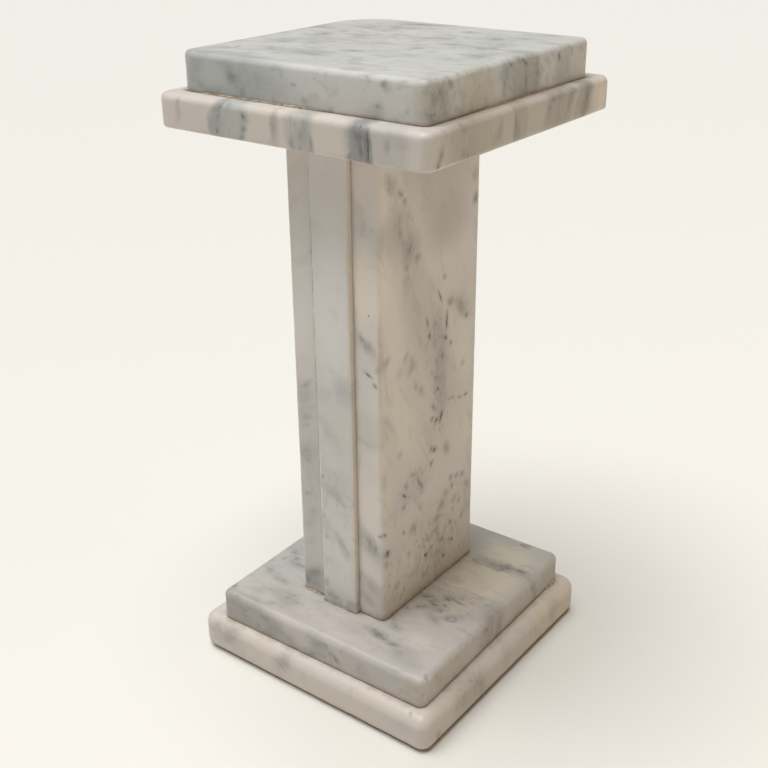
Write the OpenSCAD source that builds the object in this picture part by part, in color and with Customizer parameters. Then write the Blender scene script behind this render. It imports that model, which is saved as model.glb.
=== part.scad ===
// Stepped marble display pedestal: two base slabs, a shaft of three upright
// slabs and two cap slabs, each a separate block bonded face to face.
// Millimetres, +Z up. The origin is at floor level, in the middle of the plinth.
// X runs through the thickness of the shaft slabs, Y along their width.

/* [Overall] */
// Height from the floor to the top of the display slab
overall_h = 750; // [600:5:1050]

/* [Plinth, the lowest slab] */
// Size along X
plinth_x = 353; // [280:1:450]
// Size along Y
plinth_y = 357; // [280:1:450]
// Thickness
plinth_h = 48.5; // [30:0.5:70]
// Radius of the corners, seen from above
plinth_corner_r = 15; // [10:0.5:30]
// Radius of the full rounding along the upper edge
plinth_upper_r = 15; // [4:0.5:24]
// Radius of the rounding along the lower edge
plinth_lower_r = 14; // [2:0.5:20]

/* [Base step, the slab on the plinth] */
// How far its long sides stand in from the plinth's, along X
step_in_x = 22.5; // [12:0.5:40]
// How far they stand in along Y
step_in_y = 18; // [12:0.5:40]
// Thickness
step_h = 39; // [25:0.5:60]
// Radius of the corners, seen from above
step_corner_r = 10; // [6:0.5:25]
// Radius of the eased upper edge
step_upper_r = 8; // [2:0.5:15]
// How far it was set off centre along X
step_shift_x = 3.5; // [-6:0.5:6]
// How far it was set off centre along Y
step_shift_y = -2; // [-3:0.5:3]
// How far it was set out of square with the plinth, in degrees
step_turn = 0.8; // [-1.5:0.1:1.5]

/* [Shaft, three upright slabs side by side] */
// Thickness of the slab on the -X side
left_slab_t = 40; // [25:0.5:60]
// Thickness of the middle slab
core_slab_t = 51; // [30:0.5:75]
// Thickness of the slab on the +X side
right_slab_t = 36.5; // [25:0.5:60]
// Width of the two outer slabs, along Y
outer_slab_w = 194; // [150:0.5:240]
// How far the middle slab stands proud of the outer ones, at each end
core_proud = 7; // [3:0.5:20]
// Radius of the rounded upright arrises on the outer slabs
outer_arris_r = 7; // [2:0.5:20]
// Radius of the eased upright arrises on the middle slab
core_arris_r = 1.5; // [0.5:0.5:5]
// How far the shaft was set off centre along X
shaft_shift_x = -6; // [-15:0.5:15]

/* [Cap plate, the wide slab on the shaft] */
// Size along X
cap_x = 348; // [280:1:450]
// Size along Y
cap_y = 354; // [280:1:450]
// Thickness
cap_h = 36.5; // [25:0.5:60]
// Radius of the corners, seen from above
cap_corner_r = 12; // [8:0.5:30]
// Radius of the rounded upper edge
cap_upper_r = 8; // [2:0.5:14]
// Radius of the eased lower edge
cap_lower_r = 4; // [1:0.5:12]

/* [Display slab, on the cap plate] */
// How far its sides stand in from the cap plate's, along X
display_in_x = 17; // [14:0.5:40]
// How far they stand in along Y
display_in_y = 22; // [14:0.5:40]
// Thickness
display_h = 41; // [25:0.5:60]
// Radius of three of the corners, seen from above
display_corner_r = 9; // [7:0.5:30]
// Radius of the eased upper edge
display_upper_r = 7; // [2:0.5:14]
// Radius of its -X +Y corner, which was dressed back rounder than the others
display_back_corner_r = 60; // [20:1:90]

/* [Hidden] */

$fn = 72;
// Overrun of a cutting shape past the edge it cuts
over = 1;
// The most of a slab's thickness that one rounded edge may take up
edge_share = 0.48;

step_x = plinth_x - 2 * step_in_x;
step_y = plinth_y - 2 * step_in_y;
display_x = cap_x - 2 * display_in_x;
display_y = cap_y - 2 * display_in_y;

step_z = plinth_h;
shaft_z = step_z + step_h;
display_z = overall_h - display_h;
cap_z = display_z - cap_h;
shaft_h = cap_z - shaft_z;

shaft_t = left_slab_t + core_slab_t + right_slab_t;
left_x = shaft_shift_x - shaft_t / 2;
core_x = left_x + left_slab_t;
right_x = core_x + core_slab_t;

WARM_WHITE = [0.80, 0.77, 0.73];
GREY_WHITE = [0.76, 0.76, 0.74];
CREAM = [0.77, 0.73, 0.67];
PALE_GREY = [0.71, 0.70, 0.68];

// An edge radius, kept within its share of a slab's thickness
function edge_r(r, thickness) = min(r, edge_share * thickness);

// What a square corner at the end of both axes loses to a rounding of radius r
// whose centre is at the origin
module corner_waste(r) {
    difference() {
        square(r + over);
        circle(r);
    }
}

// Takes the rounding waste off a section's outer side, which lies at x = reach
module round_edges(reach, h, r_upper, r_lower) {
    translate([reach - r_upper, h - r_upper]) corner_waste(r_upper);
    if (r_lower > 0)
        translate([reach - r_lower, r_lower]) mirror([0, 1]) corner_waste(r_lower);
}

// Upright section of a slab's corner, from its centre line out
module corner_section(reach, h, r_upper, r_lower) {
    difference() {
        square([reach, h]);
        round_edges(reach, h, r_upper, r_lower);
    }
}

// Upright section right across a slab
module full_section(width, h, r_upper, r_lower) {
    difference() {
        translate([-width / 2, 0]) square([width, h]);
        for (side = [0, 1])
            mirror([side, 0]) round_edges(width / 2, h, r_upper, r_lower);
    }
}

// A flat slab with rounded corners and rounded long edges: its section is run
// along X and along Y, and turned about the centre of each corner
module eased_slab(x, y, h, r_corner, r_upper, r_lower = 0) {
    upper = edge_r(r_upper, h);
    lower = edge_r(r_lower, h);
    corner = max(r_corner, upper, lower);
    run_x = x - 2 * corner;
    run_y = y - 2 * corner;
    union() {
        translate([-run_x / 2, 0, 0]) rotate([90, 0, 90])
            linear_extrude(run_x) full_section(y, h, upper, lower);
        translate([0, run_y / 2, 0]) rotate([90, 0, 0])
            linear_extrude(run_y) full_section(x, h, upper, lower);
        for (side_x = [-1, 1], side_y = [-1, 1])
            translate([side_x * run_x / 2, side_y * run_y / 2, 0])
                rotate_extrude() corner_section(corner, h, upper, lower);
    }
}

// An eased slab whose -X +Y corner is turned to a larger radius than the rest
module round_backed_slab(x, y, h, r_corner, r_upper, r_back) {
    upper = edge_r(r_upper, h);
    union() {
        difference() {
            eased_slab(x, y, h, r_corner, r_upper);
            translate([-x / 2 - over, y / 2 - r_back, -over])
                cube([r_back + over, r_back + over, h + 2 * over]);
        }
        translate([r_back - x / 2, y / 2 - r_back, 0])
            rotate([0, 0, 90]) rotate_extrude(angle = 90)
                corner_section(r_back, h, upper, 0);
    }
}

// Plan of an upright slab from x = 0 to x = t, its two +X arrises rounded
module outer_plan(t, width, r) {
    difference() {
        translate([0, -width / 2]) square([t, width]);
        for (side = [0, 1])
            mirror([0, side]) translate([t - r, width / 2 - r]) corner_waste(r);
    }
}

// Plan of the middle slab from x = 0 to x = t, all four arrises eased
module core_plan(t, width, r) {
    difference() {
        translate([0, -width / 2]) square([t, width]);
        for (side_x = [0, 1], side_y = [0, 1])
            translate([t / 2, 0]) mirror([side_x, 0]) mirror([0, side_y])
                translate([t / 2 - r, width / 2 - r]) corner_waste(r);
    }
}

module plinth() {
    color(WARM_WHITE)
        eased_slab(plinth_x, plinth_y, plinth_h, plinth_corner_r, plinth_upper_r, plinth_lower_r);
}

module base_step() {
    color(PALE_GREY)
        translate([step_shift_x, step_shift_y, step_z]) rotate([0, 0, step_turn])
            eased_slab(step_x, step_y, step_h, step_corner_r, step_upper_r);
}

module shaft_left_slab() {
    color(GREY_WHITE)
        translate([left_x + left_slab_t, 0, shaft_z]) mirror([1, 0, 0])
            linear_extrude(shaft_h)
                outer_plan(left_slab_t, outer_slab_w, edge_r(outer_arris_r, left_slab_t));
}

module shaft_core_slab() {
    color(WARM_WHITE)
        translate([core_x, 0, shaft_z]) linear_extrude(shaft_h)
            core_plan(core_slab_t, outer_slab_w + 2 * core_proud, core_arris_r);
}

module shaft_right_slab() {
    color(CREAM)
        translate([right_x, 0, shaft_z]) linear_extrude(shaft_h)
            outer_plan(right_slab_t, outer_slab_w, edge_r(outer_arris_r, right_slab_t));
}

module cap_plate() {
    color(CREAM)
        translate([0, 0, cap_z])
            eased_slab(cap_x, cap_y, cap_h, cap_corner_r, cap_upper_r, cap_lower_r);
}

module display_slab() {
    color(GREY_WHITE)
        translate([0, 0, display_z])
            round_backed_slab(display_x, display_y, display_h, display_corner_r, display_upper_r,
                display_back_corner_r);
}

plinth();
base_step();
shaft_left_slab();
shaft_core_slab();
shaft_right_slab();
cap_plate();
display_slab();
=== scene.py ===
"""Stepped marble display pedestal: seven polished slabs with worn arrises, natural veining and old filler in
the joints.

Each slab is worked out with numpy as a skin over its CAD solid, and the stone is one recipe with its own
ground colours, bedding and veins for each slab. Metres, in the CAD frame: -Y is the front, +X the smooth
side.
"""
import math

import bpy
import numpy as np
from mathutils import Matrix, Vector


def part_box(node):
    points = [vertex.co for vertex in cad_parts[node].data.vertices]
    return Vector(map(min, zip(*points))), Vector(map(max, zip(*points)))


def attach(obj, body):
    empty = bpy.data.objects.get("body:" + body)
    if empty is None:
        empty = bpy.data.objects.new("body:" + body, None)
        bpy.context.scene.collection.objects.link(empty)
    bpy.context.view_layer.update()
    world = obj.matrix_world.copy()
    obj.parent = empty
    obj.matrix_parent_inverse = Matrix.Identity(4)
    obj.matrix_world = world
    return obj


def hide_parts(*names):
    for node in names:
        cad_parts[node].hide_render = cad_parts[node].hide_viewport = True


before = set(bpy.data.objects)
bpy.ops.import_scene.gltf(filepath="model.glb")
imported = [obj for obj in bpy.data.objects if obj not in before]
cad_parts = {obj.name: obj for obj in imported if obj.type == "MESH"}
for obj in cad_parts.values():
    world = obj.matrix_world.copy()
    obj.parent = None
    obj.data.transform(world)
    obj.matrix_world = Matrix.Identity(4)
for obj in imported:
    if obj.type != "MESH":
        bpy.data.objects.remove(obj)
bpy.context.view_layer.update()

MM = 0.001

# Camera: where it stands round the pedestal, and where it looks
CAMERA_ROUND = math.radians(36.71)
CAMERA_AWAY = 1.2421
CAMERA_HEIGHT = 0.9361
LOOK_ROUND = math.radians(37.14)
LOOK_DOWN = math.radians(25.13)
LOOK_ROLL = math.radians(-0.57)
LENS_MM = 53.56
SENSOR_MM = 36.0

# Studio: a dim room, a broad overhead light, and two panels as (name, place, width, power, tint)
ROOM_TINT = (1.0, 0.98, 0.95, 1.0)
ROOM_GLOW = 0.05
OVERHEAD_STRENGTH = 3.8
OVERHEAD_TINT = (0.98, 0.99, 1.0)
OVERHEAD_SPREAD = math.radians(50)
OVERHEAD_LEAN = (math.radians(9), math.radians(-7), 0.0)
PANELS = (("front panel", (-1.2, -2.8, 1.5), 1.8, 6.0, (0.86, 0.95, 1.0)),
          ("side panel", (2.8, 0.6, 1.2), 1.8, 10.0, (1.0, 0.70, 0.34)))
PANEL_TARGET = (0.0, 0.0, 0.4)
FLOOR_REACH = 30.0
FLOOR_TINT = (0.74, 0.715, 0.66, 1.0)

# Edge radii of the slabs, as cut
PLINTH_EDGES = dict(corner=15 * MM, upper=15 * MM, lower=14 * MM)
STEP_EDGES = dict(corner=10 * MM, upper=8 * MM, lower=0.4 * MM)
CAP_EDGES = dict(corner=12 * MM, upper=8 * MM, lower=4 * MM)
DISPLAY_EDGES = dict(corner=9 * MM, upper=7 * MM, lower=0.4 * MM)
DISPLAY_BACK_CORNER = 60 * MM
STEP_TURN = math.radians(0.8)
OUTER_ARRIS = 7 * MM
CORE_ARRIS = 1.5 * MM
TIGHT_ARRIS = 0.3 * MM
END_ARRIS = 0.7 * MM

# Corners worn rounder than cut, as (side on X, side on Y, radius)
PLINTH_RUBBED = ((-1, -1, 21 * MM), (1, 1, 21 * MM), (-1, 1, 20 * MM))
CAP_RUBBED = ((-1, -1, 16 * MM), (1, 1, 16 * MM), (-1, 1, 16 * MM))
DISPLAY_RUBBED = ((-1, 1, DISPLAY_BACK_CORNER), (-1, -1, 17 * MM), (1, 1, 15 * MM))

# Chips, as (place in the slab's own axes, radius, depth) in millimetres
PLINTH_CHIP = ((150, -171, 45.5), 3.0, 1.6)
STEP_CHIP = ((152, -145, 85), 6.0, 2.2)

# How far the middle of a bead of filler lies above the joint, in millimetres, and the first bead's seed
BEAD_LIFT = 0.4
BEAD_SEED = 81


# ---------------------------------------------------------------- shapes

def lattice_noise(points, cell, seed):
    """Smooth random field from -1 to 1: a repeating cube of random numbers, one to each cell, blended between
    the eight nearest by the smooth step 3t^2 - 2t^3."""
    side = 32
    table = np.random.default_rng(seed).uniform(-1.0, 1.0, (side, side, side))
    place = points / cell
    base = np.floor(place).astype(int)
    part = place - base
    part = part * part * (3.0 - 2.0 * part)
    total = np.zeros(len(points))
    for dx in (0, 1):
        for dy in (0, 1):
            for dz in (0, 1):
                step = np.array([dx, dy, dz])
                weight = np.prod(np.where(step, part, 1.0 - part), axis=1)
                i, j, k = ((base + step) % side).T
                total += weight * table[i, j, k]
    return total


def spaced(low, high, step, spots=(), reach=4 * MM, fine=0.6 * MM):
    """Line places from low to high: about one step apart, drawing in to the fine spacing round each spot,
    by running up the sum of a line density and reading it back at whole numbers."""
    line = np.linspace(low, high, 4001)
    density = np.full(line.shape, 1.0 / step)
    for spot in spots:
        density += (1.0 / fine - 1.0 / step) * np.exp(-((line - spot) / reach) ** 2)
    count = np.concatenate([[0.0], np.cumsum((density[1:] + density[:-1]) / 2 * np.diff(line))])
    whole = max(2, round(count[-1]))
    return np.interp(np.linspace(0.0, count[-1], whole + 1), count, line)


def arc(start, stop, radius, step):
    """Angles from start to stop along an arc of this radius, about one step apart."""
    return np.linspace(start, stop, max(3, round(abs(stop - start) * radius / step)) + 1)


def outline(half_x, half_y, radii, step, spots_x=(), spots_y=(), arc_step=1.2 * MM):
    """Feet, outward directions and radii of a rounded rectangle's outline, anticlockwise from its +X side:
    a point of the outline is foot + direction x radius. radii are those of the corners +X+Y, -X+Y, -X-Y,
    +X-Y."""
    feet, ways, reach = [], [], []
    corner = {}
    for (sx, sy), radius in zip(((1, 1), (-1, 1), (-1, -1), (1, -1)), radii):
        corner[sx, sy] = (np.array([sx * (half_x - radius), sy * (half_y - radius)]), radius)
    sides = (((1, -1), (1, 1), 0.0), ((1, 1), (-1, 1), 0.5), ((-1, 1), (-1, -1), 1.0),
             ((-1, -1), (1, -1), 1.5))
    for begin, end, turn in sides:
        way = np.array([math.cos(turn * math.pi), math.sin(turn * math.pi)]).round()
        start, start_r = corner[begin]
        stop, stop_r = corner[end]
        along = 1 if way[0] else 0
        spots = spots_y if along else spots_x
        sign = 1.0 if stop[along] > start[along] else -1.0
        line = spaced(*sorted((start[along], stop[along])), step, spots)[::int(sign)]
        share = (line - start[along]) / (stop[along] - start[along])
        level = start[1 - along] + share * (stop[1 - along] - start[1 - along])
        radius = start_r + share * (stop_r - start_r)
        foot = np.empty((len(line), 2))
        foot[:, along] = line
        foot[:, 1 - along] = level
        feet.append(foot)
        ways.append(np.tile(way, (len(line), 1)))
        reach.append(radius)
        angle = turn * math.pi + arc(0.0, math.pi / 2, stop_r, arc_step)[1:-1]
        feet.append(np.tile(stop, (len(angle), 1)))
        ways.append(np.stack([np.cos(angle), np.sin(angle)], 1))
        reach.append(np.full(len(angle), stop_r))
    return np.concatenate(feet), np.concatenate(ways), np.concatenate(reach)


def grid_faces(rows, columns, closed=True):
    """Quads over a grid of points numbered row by row, its last column joined to its first where closed."""
    r, c = np.meshgrid(np.arange(rows - 1), np.arange(columns if closed else columns - 1), indexing="ij")
    nxt = (c + 1) % columns
    quads = np.stack([r * columns + c, (r + 1) * columns + c, (r + 1) * columns + nxt, r * columns + nxt], -1)
    return quads.reshape(-1, 4)


def welded(points, ways, quads):
    """One closed skin: points at the same place become one, and quads that lose a corner become triangles."""
    _, first, back = np.unique(np.round(points / 1e-7).astype(np.int64), axis=0, return_index=True,
                               return_inverse=True)
    quads = back.reshape(-1)[quads]
    faces = []
    same = quads == np.roll(quads, -1, axis=1)
    whole = ~same.any(axis=1)
    faces += quads[whole].tolist()
    for k in range(4):
        keep = same[:, k] & (same.sum(axis=1) == 1)
        faces += np.delete(quads[keep], k, axis=1).tolist()
    return points[first], ways[first], faces


def edge_rows(low, high, upper, lower, side_step, arc_step=1.0 * MM):
    """Rows of a slab's edge from its upper face down to its under face, as (inset, level, outward share,
    upward share): upper rounding, flat side, lower rounding."""
    rows = []
    for angle in arc(math.pi / 2, 0.0, upper, arc_step):
        rows.append((upper * (1 - math.cos(angle)), high - upper + upper * math.sin(angle),
                     math.cos(angle), math.sin(angle)))
    for level in spaced(low + lower, high - upper, side_step)[-2:0:-1]:
        rows.append((0.0, level, 1.0, 0.0))
    for angle in arc(0.0, -math.pi / 2, lower, min(arc_step, lower / 2)):
        rows.append((lower * (1 - math.cos(angle)), low + lower + lower * math.sin(angle),
                     math.cos(angle), math.sin(angle)))
    return np.array(rows)


def flat_slab_skin(half_x, half_y, low, high, corner, upper, lower, spots_x=(), spots_y=(), step=3 * MM):
    """Skin of a flat slab, centred on the Z axis: its edge profile carried round a rounded-rectangle outline,
    and its two faces filled by a grid inside the outline's feet."""
    feet, ways, _ = outline(half_x, half_y, [corner] * 4, step, spots_x, spots_y)
    edge = edge_rows(low, high, upper, lower, step)
    ring_up = np.linspace(corner, upper, max(2, round((corner - upper) / step)) + 1)[:-1]
    ring_down = np.linspace(lower, corner, max(2, round((corner - lower) / step)) + 1)[1:]
    rows = np.concatenate([[(inset, high, 0.0, 1.0) for inset in ring_up], edge,
                           [(inset, low, 0.0, -1.0) for inset in ring_down]])
    inset, level, out, rise = rows.T
    reach = corner - inset
    points = np.empty((len(rows), len(feet), 3))
    points[..., :2] = feet[None] + ways[None] * reach[:, None, None]
    points[..., 2] = level[:, None]
    normals = np.empty_like(points)
    normals[..., :2] = ways[None] * out[:, None, None]
    normals[..., 2] = rise[:, None]
    skins = [(points.reshape(-1, 3), normals.reshape(-1, 3), grid_faces(len(rows), len(feet)))]
    lines_x = spaced(corner - half_x, half_x - corner, step, spots_x)
    lines_y = spaced(corner - half_y, half_y - corner, step, spots_y)
    for level, rise in ((high, 1.0), (low, -1.0)):
        gx, gy = np.meshgrid(lines_x, lines_y, indexing="ij")
        face = np.stack([gx, gy, np.full(gx.shape, level)], -1).reshape(-1, 3)
        quads = grid_faces(len(lines_x), len(lines_y), closed=False)
        skins.append((face, np.tile([0.0, 0.0, rise], (len(face), 1)), quads if rise > 0 else quads[:, ::-1]))
    return joined(skins)


def joined(skins):
    """Several grids as one welded skin."""
    start, quads = 0, []
    for points, _, faces in skins:
        quads.append(faces + start)
        start += len(points)
    return welded(np.concatenate([s[0] for s in skins]), np.concatenate([s[1] for s in skins]),
                  np.concatenate(quads))


def upright_slab_skin(low, high, radii, step=3.5 * MM, rise_step=4 * MM):
    """Skin of an upright slab: its plan outline carried up Z with eased ends, each end closed from the
    outline in to a spine along the middle. radii are those of the corners +X+Y, -X+Y, -X-Y, +X-Y."""
    middle, half = (low + high) / 2, (high - low) / 2
    feet, ways, reach = outline(half[0], half[1], radii, step)
    rows = edge_rows(low[2], high[2], END_ARRIS, END_ARRIS, rise_step, arc_step=0.4 * MM)
    inset, level, out, rise = rows.T
    spine = np.stack([np.zeros(len(feet)), np.clip(feet[:, 1], half[0] - half[1], half[1] - half[0])], 1)
    rim = feet + ways * reach[:, None]
    points = np.empty((len(rows) + 2, len(feet), 3))
    points[1:-1, :, :2] = rim[None] - ways[None] * inset[:, None, None]
    points[1:-1, :, 2] = level[:, None]
    points[0, :, :2] = points[-1, :, :2] = spine
    points[0, :, 2] = high[2]
    points[-1, :, 2] = low[2]
    normals = np.zeros_like(points)
    normals[1:-1, :, :2] = ways[None] * out[:, None, None]
    normals[1:-1, :, 2] = rise[:, None]
    normals[0, :, 2] = 1.0
    normals[-1, :, 2] = -1.0
    points[..., :2] += middle[:2]
    return welded(points.reshape(-1, 3), normals.reshape(-1, 3), grid_faces(len(rows) + 2, len(feet)))


def rounder_corner(points, half, old, new, sx, sy):
    """The corner on the sx, sy side drawn in from its old radius to a larger one. About the new corner's
    centre, the rim moves in from the old outline to the new arc, and what lies inside follows by the square
    of its share."""
    u = np.clip(sx * points[:, 0] - half[0] + new, 0.0, None)
    v = np.clip(sy * points[:, 1] - half[1] + new, 0.0, None)
    inside = (u > 0) & (v > 0)
    u, v = u[inside], v[inside]
    reach = np.hypot(u, v)
    c, s = u / reach, v / reach
    off = new - old
    along = off * (c + s)
    on_arc = along + np.sqrt(np.clip(old ** 2 - 2 * off ** 2 + along ** 2, 0.0, None))
    on_side = new / np.maximum(c, s)
    rim = np.where(new * np.minimum(c, s) / np.maximum(c, s) <= off, on_side, on_arc)
    share = np.clip(reach / rim, 0.0, 1.0)
    scale = 1.0 - (rim - new) * share ** 2 / reach
    points[inside, 0] = sx * (half[0] - new + u * scale)
    points[inside, 1] = sy * (half[1] - new + v * scale)


def worn(points, ways, seed, arris, rub=0.5 * MM, wave=0.15 * MM, chips=()):
    """Points moved a little inwards, against their outward ways: a slow wave left by hand polishing, rubbing
    along the arrises, and named chips, each a shallow bowl (place, radius, depth) broken by fine noise."""
    depth = wave * (0.5 + 0.5 * lattice_noise(points, 70 * MM, seed))
    bruise = np.clip(0.35 + 0.6 * lattice_noise(points, 34 * MM, seed + 1)
                     + 0.5 * lattice_noise(points, 9 * MM, seed + 2), 0.0, 1.0)
    depth += rub * arris * bruise ** 2
    for place, radius, bowl in chips:
        away = np.linalg.norm(points - np.array(place) * MM, axis=1) / (radius * MM)
        rough = 1.0 + 0.3 * lattice_noise(points, radius * MM / 2, seed + 3)
        depth += bowl * MM * np.clip(1.0 - (away * rough) ** 2, 0.0, 1.0) ** 1.5
    return points - ways * depth[:, None]


def bead_skin(path, radius, seed, step=1.2 * MM, sides=12):
    """Skin of a bead of filler, as (points, ways, faces): rings round a path, their radius uneven by noise
    and drawn in to a point at both ends."""
    path = np.array(path) * MM
    run = np.concatenate([[0.0], np.cumsum(np.linalg.norm(np.diff(path, axis=0), axis=1))])
    at = np.linspace(0.0, run[-1], max(8, round(run[-1] / step)))
    middle = np.stack([np.interp(at, run, path[:, k]) for k in range(3)], 1)
    ahead = np.gradient(middle, axis=0)
    ahead /= np.linalg.norm(ahead, axis=1)[:, None]
    side = np.cross(ahead, [0.0, 0.0, 1.0])
    side /= np.linalg.norm(side, axis=1)[:, None]
    above = np.cross(side, ahead)
    taper = np.sqrt(1.0 - np.linspace(-1.0, 1.0, len(at)) ** 6)
    uneven = (0.62 + 0.26 * lattice_noise(middle, 11 * MM, seed)
              + 0.22 * lattice_noise(middle, 4 * MM, seed + 1))
    size = radius * MM * taper * np.clip(uneven, 0.12, None)
    angle = np.linspace(0.0, 2 * math.pi, sides, endpoint=False)
    ways = side[:, None] * np.cos(angle)[None, :, None] + above[:, None] * np.sin(angle)[None, :, None]
    points = middle[:, None] + ways * size[:, None, None]
    return points.reshape(-1, 3), ways.reshape(-1, 3), grid_faces(len(at), sides)


def arris_share(ways):
    """How much a point lies on an arris: 1 where its outward way is halfway between two faces, 0 on one."""
    main = np.abs(ways).max(axis=1)
    return np.clip((1.0 - main) / (1.0 - math.sqrt(0.5)), 0.0, 1.0)


def piece(name, points, faces, material, replaced=None):
    """A shown piece of the pedestal with smooth faces, riding on its one body."""
    mesh = bpy.data.meshes.new(name)
    mesh.from_pydata(points, [], faces)
    mesh.polygons.foreach_set("use_smooth", np.ones(len(mesh.polygons), dtype=bool))
    mesh.materials.append(material)
    mesh.validate()
    mesh.update()
    thing = bpy.data.objects.new(name, mesh)
    bpy.context.scene.collection.objects.link(thing)
    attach(thing, "root")
    if replaced:
        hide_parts(replaced)


# ---------------------------------------------------------------- nodes

def shade(red, green, blue):
    """A screen colour of 0 to 255 a channel as the linear colour that shaders use."""
    part = np.array([red, green, blue]) / 255
    linear = np.where(part <= 0.04045, part / 12.92, ((part + 0.055) / 1.055) ** 2.4)
    return (*linear.tolist(), 1.0)


def put(tree, kind, feeds=(), **settings):
    """Adds a node, sets its properties, and gives each input in turn a link or a plain value."""
    node = tree.nodes.new(kind)
    for key, value in settings.items():
        setattr(node, key, value)
    for key, value in (feeds.items() if isinstance(feeds, dict) else enumerate(feeds)):
        if value is None:
            continue
        if isinstance(value, bpy.types.NodeSocket):
            tree.links.new(value, node.inputs[key])
        else:
            node.inputs[key].default_value = value
    return node


def sums(tree, operation, *feeds, clamp=False):
    """The result of a Math node."""
    return put(tree, "ShaderNodeMath", feeds, operation=operation, use_clamp=clamp).outputs[0]


def vector(tree, operation, *feeds, result="Vector"):
    """The result of a Vector Math node."""
    return put(tree, "ShaderNodeVectorMath", feeds, operation=operation).outputs[result]


def spread(tree, value, low, high, to_low=0.0, to_high=1.0, curve="SMOOTHSTEP"):
    """A value eased from low..high onto to_low..to_high."""
    return put(tree, "ShaderNodeMapRange", (value, low, high, to_low, to_high),
               interpolation_type=curve).outputs[0]


def grain(tree, place, scale, detail=2.0, roughness=0.5, distortion=0.0, result="Fac"):
    """A noise pattern over a place, scale being its cells to the metre."""
    feeds = dict(Vector=place, Scale=scale, Detail=detail, Roughness=roughness, Distortion=distortion)
    return put(tree, "ShaderNodeTexNoise", feeds).outputs[result]


def blend(tree, share, below, above):
    """Colour below covered by colour above in the given share."""
    node = put(tree, "ShaderNodeMix", data_type="RGBA")
    for socket, value in zip((node.inputs["Factor"], node.inputs[6], node.inputs[7]), (share, below, above)):
        if isinstance(value, bpy.types.NodeSocket):
            tree.links.new(value, socket)
        else:
            socket.default_value = value
    return node.outputs[2]


def new_group(name, inputs, outputs):
    """An empty shader group with named inputs (name, kind, value) and outputs (name, kind)."""
    tree = bpy.data.node_groups.new(name, "ShaderNodeTree")
    for label, kind, value in inputs:
        socket = tree.interface.new_socket(label, in_out="INPUT", socket_type="NodeSocket" + kind)
        socket.default_value = value
    for label, kind in outputs:
        tree.interface.new_socket(label, in_out="OUTPUT", socket_type="NodeSocket" + kind)
    return tree, tree.nodes.new("NodeGroupInput").outputs, tree.nodes.new("NodeGroupOutput").inputs


def use(tree, group, **feeds):
    """A placed group's outputs; feeds name its inputs, with _ for a space."""
    node = put(tree, "ShaderNodeGroup", node_tree=group)
    for key, value in feeds.items():
        socket = node.inputs[key.replace("_", " ")]
        if isinstance(value, bpy.types.NodeSocket):
            tree.links.new(value, socket)
        else:
            socket.default_value = value
    return node.outputs


def folded_place_group():
    """Place moved about by noise, so that straight veins wander: a broad fold and a fine ragged one."""
    tree, given, out = new_group("Folded place", [("Place", "Vector", (0, 0, 0)), ("Fold", "Float", 0.004),
                                                  ("Ragged", "Float", 0.001)], [("Place", "Vector")])
    place = given["Place"]
    total = place
    for scale, detail, reach in ((26.0, 1.0, given["Fold"]), (150.0, 2.0, given["Ragged"])):
        noise = grain(tree, place, scale, detail, 0.5, result="Color")
        centred = vector(tree, "SUBTRACT", noise, (0.5, 0.5, 0.5))
        wide = sums(tree, "MULTIPLY", reach, 4.0)
        total = vector(tree, "ADD", total, put(tree, "ShaderNodeVectorMath",
                       {0: centred, "Scale": wide}, operation="SCALE").outputs[0])
    tree.links.new(total, out["Place"])
    return tree


def clouded_ground_group():
    """Ground of the stone: a pale body with broad clouds, warm stains and a fine crystalline mottle."""
    tree, given, out = new_group("Clouded ground", [
        ("Place", "Vector", (0, 0, 0)), ("Pale", "Color", (0.7, 0.7, 0.7, 1)),
        ("Cloud", "Color", (0.5, 0.5, 0.5, 1)), ("Warm", "Color", (0.7, 0.6, 0.5, 1)),
        ("Clouding", "Float", 0.5), ("Warming", "Float", 0.5)],
        [("Color", "Color")])
    place = given["Place"]
    broad = spread(tree, grain(tree, place, 13.0, 3.0, 0.55, 0.6), 0.40, 0.68)
    fine = spread(tree, grain(tree, place, 60.0, 4.0, 0.55), 0.38, 0.70)
    both = sums(tree, "MULTIPLY_ADD", fine, 0.40, sums(tree, "MULTIPLY", broad, 0.6))
    clouds = sums(tree, "MULTIPLY", both, given["Clouding"])
    moved = vector(tree, "ADD", place, (3.1, 1.7, 5.3))
    warmth = sums(tree, "MULTIPLY", spread(tree, grain(tree, moved, 9.0, 3.0, 0.5, 0.4), 0.36, 0.62),
                  given["Warming"])
    ground = blend(tree, warmth, blend(tree, clouds, given["Pale"], given["Cloud"]), given["Warm"])
    crystal = grain(tree, place, 900.0, 2.0, 0.7)
    lift = spread(tree, crystal, 0.25, 0.75, 0.975, 1.02, "LINEAR")
    lifted = put(tree, "ShaderNodeVectorMath", {0: ground, "Scale": lift}, operation="SCALE").outputs[0]
    tree.links.new(lifted, out["Color"])
    return tree


def bedding_group():
    """Wisps of the stone's bedding: where a stretched noise crosses its middle value, broken up by a second
    noise. Place is already turned and stretched along the bed."""
    tree, given, out = new_group("Bedding", [("Place", "Vector", (0, 0, 0)), ("Scale", "Float", 20.0),
                                             ("Width", "Float", 0.06)], [("Mask", "Float")])
    place = given["Place"]
    level = grain(tree, place, given["Scale"], 2.0, 0.5, 0.5)
    off = sums(tree, "ABSOLUTE", sums(tree, "SUBTRACT", level, 0.5))
    line = spread(tree, off, given["Width"], 0.0)
    moved = vector(tree, "ADD", place, (7.7, 2.9, 4.1))
    gaps = spread(tree, grain(tree, moved, sums(tree, "MULTIPLY", given["Scale"], 1.7), 3.0, 0.5), 0.46, 0.66)
    tree.links.new(sums(tree, "MULTIPLY", line, gaps), out["Mask"])
    return tree


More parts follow.
